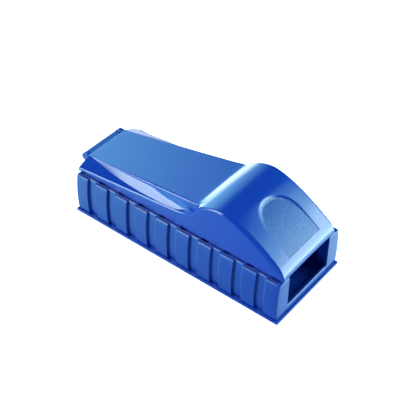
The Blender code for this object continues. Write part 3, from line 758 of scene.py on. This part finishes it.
        reach = np.clip((gap_x * np.sin(finish) - gap_z * np.cos(finish)) / cross, 0, 2 * length)
        mid_x, mid_z = side - width - reach * np.cos(start), crease_z + reach * np.sin(start)
        t = np.concatenate([np.array([0.008, 0.03]), np.linspace(0.07, 1.0, 16)])[None, :]
        x_scoop = (1 - t) ** 2 * (side - width) + 2 * t * (1 - t) * mid_x + t ** 2 * foot_x
        z_scoop = (1 - t) ** 2 * crease_z + 2 * t * (1 - t) * mid_z + t ** 2 * foot_z
        turn = steep * np.linspace(1, 0, 11)[None, :]
        x_round = end_x - bend * math.sin(steep) + bend * np.sin(turn)
        z_round = end_z - bend * math.cos(steep) + bend * np.cos(turn)
        x = np.concatenate([x_wall, x_edge, x_ledge, x_scoop, x_round], 1)
        z = np.concatenate([z_wall, z_edge, z_ledge, z_scoop, z_round], 1)
        return x, z

    def hump_section(self, y: np.ndarray, columns: int) -> tuple[np.ndarray, np.ndarray]:
        """Side wall, quarter round and a slightly domed top, out to where the fixed columns start.

        Args:
            y: places along the length.
            columns: number of places across.

        Returns:
            Arrays of x and z, one row for each place.
        """
        side, crown = self.side_x(y)[:, None], self.crown_z(y)[:, None]
        radius = np.minimum(self.edge_round(y)[:, None], 0.8 * np.maximum(crown - self.bottom, 0.03))
        up = np.linspace(0, 1, self.side_columns)[None, :]
        shoulder = np.maximum(crown - self.dome - radius, self.bottom + 0.01)
        turn = np.linspace(0, np.pi / 2, self.round_columns)[None, 1:]
        t = np.linspace(0, 1, columns - self.side_columns - self.round_columns + 2)[None, 1:]
        x_round = side - radius * (1 - np.cos(turn))
        x_top = (side - radius) + (self.fixed_from - (side - radius)) * t
        x = np.concatenate([side + 0 * up, x_round, x_top], 1)
        z = np.concatenate([self.bottom + (shoulder - self.bottom) * up, shoulder + radius * np.sin(turn),
                            crown - self.dome * (x_top / (side - radius)) ** 2], 1)
        return x, z

    def half_grid(self, y: np.ndarray, detail: bool) -> tuple[np.ndarray, np.ndarray, np.ndarray]:
        """Half of the upper skin, from the side's lower edge to the middle.

        Args:
            y: places along the length.
            detail: False leaves out the pad, for the inner skin.

        Returns:
            Arrays of x and z, one row for each place, and the pad mask.
        """
        x_wing, z_wing = self.wing_section(y)
        t = np.linspace(0, 1, 7)[None, 1:]
        x_flat = x_wing[:, -1:] + (self.fixed_from - x_wing[:, -1:]) * t
        z_flat = self.crown_z(y)[:, None] + 0 * x_flat
        x_wing = np.concatenate([x_wing, x_flat], 1)
        z_wing = np.concatenate([z_wing, z_flat], 1)
        x_hump, z_hump = self.hump_section(y, x_wing.shape[1])
        spread = np.concatenate([np.linspace(self.fixed_from, 11.6, 4)[1:], np.linspace(11.5, 9.6, 17),
                                 np.linspace(9.4, 0.0, 30)])[None, :]
        x_fixed = np.broadcast_to(spread, (len(y), spread.shape[1]))
        crown = self.crown_z(y)[:, None]
        blend = ease(-y, self.hump_from, self.hump_full)[:, None]
        z_fixed = crown - blend * self.dome * (x_fixed / (self.half_width - self.edge_round(y)[:, None])) ** 2
        x = np.concatenate([x_wing + (x_hump - x_wing) * blend, x_fixed], 1)
        z_across = z_wing + (z_hump - z_wing) * blend
        over = x_wing < self.half_width - self.shoulder
        z_across = np.where(over & (blend > 0) & (blend < 1), np.minimum(z_across, crown), z_across)
        z = np.concatenate([z_across, z_fixed], 1)
        rear = np.clip((y[:, None] - self.rear + self.rear_round) / self.rear_round, 0, 1)
        z = z - self.rear_round * (1 - np.sqrt(np.clip(1 - rear ** 2, 0, 1)))
        z = np.maximum(z, self.bottom)
        mask = np.zeros_like(z)
        if detail:
            z, mask = self.sink_pad(x, y[:, None] + 0 * x, z)
        return x, z, mask

    def sink_pad(self, x: np.ndarray, y: np.ndarray, z: np.ndarray) -> tuple[np.ndarray, np.ndarray]:
        """Lower the D-shaped pad: its depth grows towards the half-round rear end, its wall is bevelled.

        Args:
            x: distances from the middle.
            y: places along the length.
            z: heights.

        Returns:
            New heights, and a mask that is one on the pad's floor.
        """
        centre = self.pad_front + self.pad_length - self.pad_half
        straight = self.pad_half - np.abs(x)
        arched = self.pad_half - np.hypot(x, y - centre)
        inward = np.where(y > centre, arched, np.minimum(straight, y - self.pad_front))
        back = ease(y, self.pad_front, self.pad_front + self.pad_length)
        depth = self.pad_shallow + self.pad_deepening * back
        bevel = self.bevel_least + self.bevel_growth * back ** self.bevel_power
        drop = np.clip(inward / bevel, 0, 1)
        drop = 0.8 * drop + 0.2 * drop * drop * (3 - 2 * drop)
        mask = ease(inward, 0.05, 0.25) * (inward > 0)
        return z - depth * drop, mask * ease(inward - bevel * 0.6, -0.1, 0.15)

    def build(self) -> bpy.types.Object:
        """Close the detailed outer skin with a plainer inner skin, a quarter as fine across."""
        y = self.rows()
        x, z, mask = self.half_grid(y, True)
        full_x = np.concatenate([-x, x[:, ::-1][:, 1:]], 1)
        full_z = np.concatenate([z, z[:, ::-1][:, 1:]], 1)
        full_mask = np.concatenate([mask, mask[:, ::-1][:, 1:]], 1)
        rows, columns = full_x.shape
        outer = np.stack([full_x, np.broadcast_to(y[:, None], full_x.shape), full_z], -1)
        inner = self.inner_skin(y)
        inner_rows, inner_columns = inner.shape[:2]
        points = np.concatenate([outer.reshape(-1, 3), inner.reshape(-1, 3)])
        base = rows * columns
        step = self.lining_step
        skin = grid_faces(rows, columns)
        lining = grid_faces(inner_rows, inner_columns)[:, ::-1] + base
        outer_id = np.arange(base).reshape(rows, columns)
        inner_id = base + np.arange(inner_rows * inner_columns).reshape(inner_rows, inner_columns)
        left = np.stack([outer_id[1:, 0], outer_id[:-1, 0], inner_id[:-1, 0], inner_id[1:, 0]], -1)
        right = np.stack([outer_id[:-1, -1], outer_id[1:, -1], inner_id[1:, -1], inner_id[:-1, -1]], -1)
        strips = []
        # one face of the rear and front strips spans a lining step: that many outer edges and one inner edge
        ends = ((outer_id[0], inner_id[0], False), (outer_id[-1], inner_id[-1], True))
        for edge_out, edge_in, flip in ends:
            spans = [edge_out[k:len(edge_out) - step + k:step] for k in range(step)]
            strip = np.stack([*spans, edge_out[step::step], edge_in[1:], edge_in[:-1]], -1)
            strips.append(strip[:, ::-1] if flip else strip)
        faces = [skin, lining, left, right, *strips]
        piece = mesh_piece("hump_cover_shell", points, faces, 45.0)
        values = np.concatenate([full_mask.ravel(), np.zeros(inner_rows * inner_columns)]).astype(np.float32)
        piece.data.attributes.new("pad", "FLOAT", "POINT").data.foreach_set("value", values)
        LOG.info("cover: %d rows by %d columns", rows, columns)
        dress(piece, self.finish.build())
        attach(piece, "cover")
        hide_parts("top_cover")
        return piece

    def inner_skin(self, y: np.ndarray) -> np.ndarray:
        """Lining inside the plain section, squeezed towards the rear so that the lip stays thick."""
        length = self.rear - self.front
        squeezed = self.rear + (y - self.rear) * (length - self.lip_thickness) / length
        x, z, _ = self.half_grid(squeezed, False)
        full_x = np.concatenate([-x, x[:, ::-1][:, 1:]], 1)
        full_z = np.concatenate([z, z[:, ::-1][:, 1:]], 1)
        full_x = full_x[:, ::self.lining_step] * (self.half_width - self.wall) / self.half_width
        full_z = full_z[:, ::self.lining_step]
        lowered = np.maximum(full_z - self.top_thickness, self.bottom + self.foot_gap)
        full_z = np.where(full_z <= self.bottom + 1e-6, full_z, lowered)
        return np.stack([full_x, np.broadcast_to(squeezed[:, None], full_x.shape), full_z], -1)


# ---------------------------------------------------------------- hinge row and nubs
@dataclass
class CoverKnuckles:
    """Two hinge knuckles on the cover's rear edge, each with a web, and the two nubs under the lip."""

    axis_y: float = 60.9
    axis_z: float = 24.3
    radius: float = 2.1
    start: float = 10.2
    length: float = 2.6
    root_y: float = 58.0
    end_round: float = 0.28
    nub_half_spacing: float = 4.5
    nub_y: float = -56.1
    nub_radius: float = 0.8

    def profile(self) -> np.ndarray:
        """Side view of a knuckle: three quarters of a circle that runs forward into a web with a flat top."""
        turn = np.linspace(math.radians(90), math.radians(-152), 36)
        round_part = np.stack([self.axis_y + self.radius * np.cos(turn),
                               self.axis_z + self.radius * np.sin(turn)], -1)
        web = np.array([[self.root_y + 0.9, 24.5], [self.root_y, 24.9], [self.root_y, 26.25],
                        [self.axis_y - 1.0, 26.35]])
        return np.concatenate([round_part, web])

    def knuckle(self, side: int) -> bpy.types.Object:
        """Sweep the side view across the knuckle's length, pulling the ends in by a small round."""
        outline = self.profile()
        centre = np.array([self.axis_y, self.axis_z])
        near = np.array([0.0, 0.04, 0.12, self.end_round])
        offsets = np.concatenate([near, self.length - near[::-1]])
        inset = np.concatenate([near[::-1], near])
        away = outline - centre
        far = np.linalg.norm(away, axis=1, keepdims=True)
        loops = [centre + away * (1 - pull / np.maximum(far, 0.5)) for pull in inset]
        x = side * (self.start + offsets)
        rings = [np.column_stack([np.full(len(loop), at), loop]) for at, loop in zip(x, loops)]
        points = np.concatenate(rings)
        count = len(outline)
        faces = grid_faces(len(x), count, close_columns=True)
        caps = [np.arange(count)[None, ::-1], (np.arange(count) + (len(x) - 1) * count)[None, :]]
        if side < 0:
            faces = faces[:, ::-1]
            caps = [cap[:, ::-1] for cap in caps]
        return mesh_piece("knuckle_" + ("right" if side > 0 else "left"), points, [faces, *caps], 40.0)

    def nub(self, side: int) -> bpy.types.Object:
        """Turn a dome-ended peg: radius constant, then a quarter round at its lower end."""
        turn = np.linspace(0, 2 * np.pi, 24, endpoint=False)
        down = np.array([22.9, 21.9, 21.55, 21.3, 21.15, 21.1])
        reach = self.nub_radius * np.array([1.0, 1.0, 0.92, 0.72, 0.42, 0.05])
        x = side * self.nub_half_spacing + reach[:, None] * np.cos(turn)[None, :]
        y = self.nub_y + reach[:, None] * np.sin(turn)[None, :]
        z = np.broadcast_to(down[:, None], x.shape)
        points = np.stack([x, y, z], -1).reshape(-1, 3)
        faces = grid_faces(len(down), len(turn), close_columns=True)
        ring = np.arange(len(turn))
        caps = [ring[None, :], (ring + (len(down) - 1) * len(turn))[None, ::-1]]
        return mesh_piece("lip_nub_" + ("right" if side > 0 else "left"), points, [faces, *caps], 60.0)

    def build(self, material: bpy.types.Material) -> None:
        """Build both sides in the cover's own plastic."""
        for side in (-1, 1):
            for piece in (self.knuckle(side), self.nub(side)):
                dress(piece, material)
                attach(piece, "cover")
                LOG.info("cover detail: %s", piece.name)


@dataclass
class CornerPosts:
    """Four square posts inside the box's corners, each with a blind pilot hole that takes a floor screw."""

    screw_x: float = 18.05
    screw_y: float = 53.5
    low: float = 4.5
    high: float = 20.5
    pilot_radius: float = 1.0
    pilot_top: float = 13.8
    centre_x: float = 18.93
    centre_y: float = 53.95
    half_x: float = 2.72
    half_y: float = 3.05
    squareness: float = 0.22
    end_round: float = 0.15
    end_share: float = 0.97

    def post(self, name: str, side: int, end: int) -> bpy.types.Object:
        """Carry a ring from the pilot hole's top, down and out under the foot, and up the outside to the top.

        The ring is a circle in the hole and a superellipse outside, a rounded square that comes from raising
        each direction's cosine and sine to a small power.

        Args:
            name: name of the piece.
            side: -1 on the left, 1 on the right.
            end: -1 at the window end, 1 at the hinge end.

        Returns:
            The closed post.
        """
        turn = np.linspace(0, 2 * np.pi, 48, endpoint=False)
        across, along = np.cos(turn), np.sin(turn)
        square_x = np.sign(across) * np.abs(across) ** self.squareness * self.half_x + side * self.centre_x
        square_y = np.sign(along) * np.abs(along) ** self.squareness * self.half_y + end * self.centre_y
        square = np.stack([square_x, square_y], -1)
        screw = np.array([side * self.screw_x, end * self.screw_y])
        hole = np.stack([across, along], -1) * self.pilot_radius + screw
        share = np.array([0.0, 0.0, self.end_share, 1.0, 1.0, self.end_share])[:, None, None]
        height = np.array([self.pilot_top, self.low, self.low, self.low + self.end_round,
                           self.high - self.end_round, self.high])
        flat = hole[None] * (1 - share) + square[None] * share
        upright = np.broadcast_to(height[:, None, None], (*flat.shape[:2], 1))
        points = np.concatenate([flat, upright], -1).reshape(-1, 3)
        count = len(turn)
        faces = grid_faces(len(height), count, close_columns=True)[:, ::-1]
        caps = [np.arange(count)[None, ::-1], (np.arange(count) + (len(height) - 1) * count)[None, :]]
        return mesh_piece(name, points, [faces, *caps], 40.0)

    def build(self, material: bpy.types.Material) -> None:
        """Build the four posts in the box's own plastic."""
        for end, end_name in ((-1, "front"), (1, "rear")):
            for side, side_name in ((-1, "left"), (1, "right")):
                piece = self.post("screw_post_" + end_name + "_" + side_name, side, end)
                dress(piece, material)
                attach(piece, "base")
                LOG.info("box detail: %s", piece.name)


# ---------------------------------------------------------------- carried-over pieces
@dataclass
class InnerWorks:
    """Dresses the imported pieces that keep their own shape."""

    plastic: SatinAbs = field(default_factory=lambda: SatinAbs(
        "moulded_abs_inner_works", "#163f9e", "#1b469f", 0.38, Grain.ALONG))
    plate: SatinAbs = field(default_factory=lambda: SatinAbs(
        "moulded_abs_floor_plate", "#0f3299", "#14389f", 0.24, Grain.ALONG))
    steel: DrawnSteel = field(default_factory=lambda: DrawnSteel("drawn_stainless_steel"))
    pin: DrawnSteel = field(default_factory=lambda: DrawnSteel("ground_steel_pin", roughness=0.28))
    zinc: ZincPlate = field(default_factory=lambda: ZincPlate("zinc_plated_screw"))
    rubber: StopRubber = field(default_factory=lambda: StopRubber("nitrile_rubber_stop"))

    def build(self, nodes: dict[str, bpy.types.Object]) -> None:
        """Give every carried-over node its finish by the record's slot.

        Args:
            nodes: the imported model's objects by name.
        """
        made = {"inner_plastic": self.plastic.build(), "box_plastic": self.plate.build(),
                "polished_steel": self.steel.build(), "zinc_screw": self.zinc.build(),
                "stop_rubber": self.rubber.build()}
        pin = self.pin.build()
        slots = {row["node"]: row["material_slot"] for row in frame["record"]["subparts"]}
        for name, piece in nodes.items():
            if name in ("base_housing", "top_cover"):
                continue
            dress(piece, pin if name == "hinge_pin" else made[slots[name]])
            LOG.info("dressed %s as %s", name, slots[name])


# ---------------------------------------------------------------- studio
@dataclass(frozen=True)
class Card:
    """A soft-edged lit card, placed by direction in degrees."""

    azimuth: float
    elevation: float
    half_across: float
    half_up: float
    soft_across: float
    soft_up: float
    rgb: tuple[float, float, float]


@dataclass
class Studio:
    """Pale light table, soft lit cards all round and the camera."""

    azimuth: float = -52.119
    elevation: float = 42.033
    roll: float = 0.562
    distance_mm: float = 464.03
    target_mm: tuple[float, float, float] = (19.745, 11.733, -4.363)
    lens_mm: float = 81.97
    floor_hex: str = "#f4f3f1"
    floor_haze_hex: str = "#f8f8f7"
    floor_half_mm: float = 1500.0
    floor_z_mm: float = -0.3
    floor_glow: float = 0.90
    air_rgb: tuple[float, float, float] = (0.03, 0.10, 0.12)
    low_rgb: tuple[float, float, float] = (0.18, 0.40, 0.38)
    cards: tuple[Card, ...] = (
        Card(-47.0, 12.0, 20.0, 22.0, 8.0, 6.0, (5.4, 6.8, 5.8)),
        Card(-45.0, 15.0, 26.0, 30.0, 6.0, 5.0, (1.4, 2.6, 2.0)),
        Card(-36.0, 20.0, 28.0, 34.0, 5.0, 3.0, (0.6, 1.7, 1.5)),
        Card(138.0, 28.0, 18.0, 23.0, 4.0, 3.0, (8.4, 10.6, 9.8)),
        Card(148.0, -6.0, 12.0, 18.0, 8.0, 10.0, (0.9, 2.8, 2.6)),
        Card(58.0, -5.0, 22.0, 9.0, 14.0, 6.0, (3.6, 3.7, 3.4)),
        Card(66.0, 12.0, 18.0, 24.0, 13.0, 12.0, (1.2, 3.2, 3.2)),
        Card(124.0, -30.0, 20.0, 14.0, 12.0, 12.0, (0.6, 1.4, 1.2)),
        Card(-38.0, -20.0, 24.0, 24.0, 10.0, 12.0, (1.5, 2.5, 2.2)),
        Card(-135.0, -15.0, 34.0, 40.0, 12.0, 15.0, (0.35, 0.8, 1.0)))

    def build_floor(self) -> None:
        """Lay a wide pale sheet under the object."""
        half, z = self.floor_half_mm, self.floor_z_mm
        corners = np.array([[-half, -half, z], [half, -half, z], [half, half, z], [-half, half, z]])
        floor = mesh_piece("studio_floor", corners, [np.array([[0, 1, 2, 3]])])
        glow = {"Emission_Color": (1.0, 1.0, 1.0, 1.0), "Emission_Strength": self.floor_glow}
        material, shader, place = start_material("light_table_acrylic", Roughness=0.55, IOR=1.49, **glow)
        tree = material.node_tree
        haze = add_node(tree, "ShaderNodeTexNoise", {"Scale": 6.0, "Detail": 2.0}, {"Vector": place})
        colours = {6: linear_colour(self.floor_hex), 7: linear_colour(self.floor_haze_hex)}
        tint = add_node(tree, "ShaderNodeMix", {"data_type": "RGBA", **colours}, {0: haze.outputs["Fac"]})
        tree.links.new(tint.outputs[2], shader.inputs["Base Color"])
        dress(floor, material)
        floor.visible_glossy = False
        floor.visible_diffuse = False
        floor.visible_shadow = False

    def build_air(self) -> None:
        """Surround the object with soft cards, each a smooth-edged patch of sky given by direction.

        A card's strength is one inside its azimuth and elevation limits and falls to zero over its soft
        edge. The cards' colours are added to a dim blue-green air that is lighter below the horizon.
        """
        world = bpy.data.worlds.new("studio_air")
        world.use_nodes = True
        tree = world.node_tree
        tree.nodes.clear()
        way = add_node(tree, "ShaderNodeTexCoord").outputs["Generated"]
        split = add_node(tree, "ShaderNodeSeparateXYZ", links={0: way})
        azimuth = add_node(tree, "ShaderNodeMath", {"operation": "ARCTAN2"},
                           {0: split.outputs["Y"], 1: split.outputs["X"]})
        elevation = add_node(tree, "ShaderNodeMath", {"operation": "ARCSINE"}, {0: split.outputs["Z"]})
        floor_share = add_node(tree, "ShaderNodeMapRange",
                               {"interpolation_type": "SMOOTHSTEP", "From Min": 0.03, "From Max": -0.10},
                               {"Value": split.outputs["Z"]})
        base = add_node(tree, "ShaderNodeMix",
                        {"data_type": "RGBA", 6: (*self.air_rgb, 1.0), 7: (*self.low_rgb, 1.0)},
                        {0: floor_share.outputs["Result"]})
        total = base.outputs[2]
        for card in self.cards:
            masks = []
            for angle, middle, half, soft in ((azimuth, card.azimuth, card.half_across, card.soft_across),
                                              (elevation, card.elevation, card.half_up, card.soft_up)):
                away = add_node(tree, "ShaderNodeMath", {"operation": "SUBTRACT", 1: math.radians(middle)},
                                {0: angle.outputs["Value"]})
                size = add_node(tree, "ShaderNodeMath", {"operation": "ABSOLUTE"}, {0: away.outputs["Value"]})
                inside, outside = math.radians(half - soft), math.radians(half + soft)
                mask = add_node(tree, "ShaderNodeMapRange",
                                {"interpolation_type": "SMOOTHSTEP", "From Min": inside, "From Max": outside,
                                 "To Min": 1.0, "To Max": 0.0}, {"Value": size.outputs["Value"]})
                masks.append(mask.outputs["Result"])
            both = add_node(tree, "ShaderNodeMath", {"operation": "MULTIPLY"}, {0: masks[0], 1: masks[1]})
            glow = add_node(tree, "ShaderNodeVectorMath", {"operation": "SCALE", 0: card.rgb},
                            {"Scale": both.outputs["Value"]})
            total = add_node(tree, "ShaderNodeVectorMath", {"operation": "ADD"},
                             {0: total, 1: glow.outputs["Vector"]}).outputs["Vector"]
        sky = add_node(tree, "ShaderNodeBackground", {"Strength": 1.0}, {"Color": total})
        add_node(tree, "ShaderNodeOutputWorld", links={"Surface": sky.outputs["Background"]})
        bpy.context.scene.world = world

    def build_camera(self) -> None:
        """Place the camera at the product shot's angle."""
        turn, tilt, roll = (math.radians(v) for v in (self.azimuth, self.elevation, self.roll))
        back = Vector((math.sin(turn) * math.cos(tilt), -math.cos(turn) * math.cos(tilt), math.sin(tilt)))
        level = Vector((math.cos(turn), math.sin(turn), 0.0))
        upright = back.cross(level)
        right = level * math.cos(roll) + upright * math.sin(roll)
        up = upright * math.cos(roll) - level * math.sin(roll)
        lens = bpy.data.cameras.new("product_camera")
        lens.lens = self.lens_mm
        lens.sensor_width = 36.0
        lens.clip_start = 0.01
        camera = bpy.data.objects.new("product_camera", lens)
        bpy.context.scene.collection.objects.link(camera)
        place = Vector(self.target_mm) * MM + back * self.distance_mm * MM
        basis = Matrix((right, up, back)).transposed().to_4x4()
        camera.matrix_world = Matrix.Translation(place) @ basis
        bpy.context.scene.camera = camera

    def build(self) -> None:
        """Set up floor, air and camera."""
        self.build_floor()
        self.build_air()
        self.build_camera()
        bpy.context.scene.view_settings.view_transform = "Standard"
        LOG.info("studio ready")


def main() -> None:
    """Build every visible piece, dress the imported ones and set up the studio."""
    logging.basicConfig(level=logging.INFO, format="%(name)s: %(message)s")
    Studio().build()
    box = GripBox().build()
    CornerPosts().build(box.data.materials[0])
    cover = HumpCover().build()
    CoverKnuckles().build(cover.data.materials[0])
    InnerWorks().build(frame["nodes"])


if __name__ == "__main__":
    main()
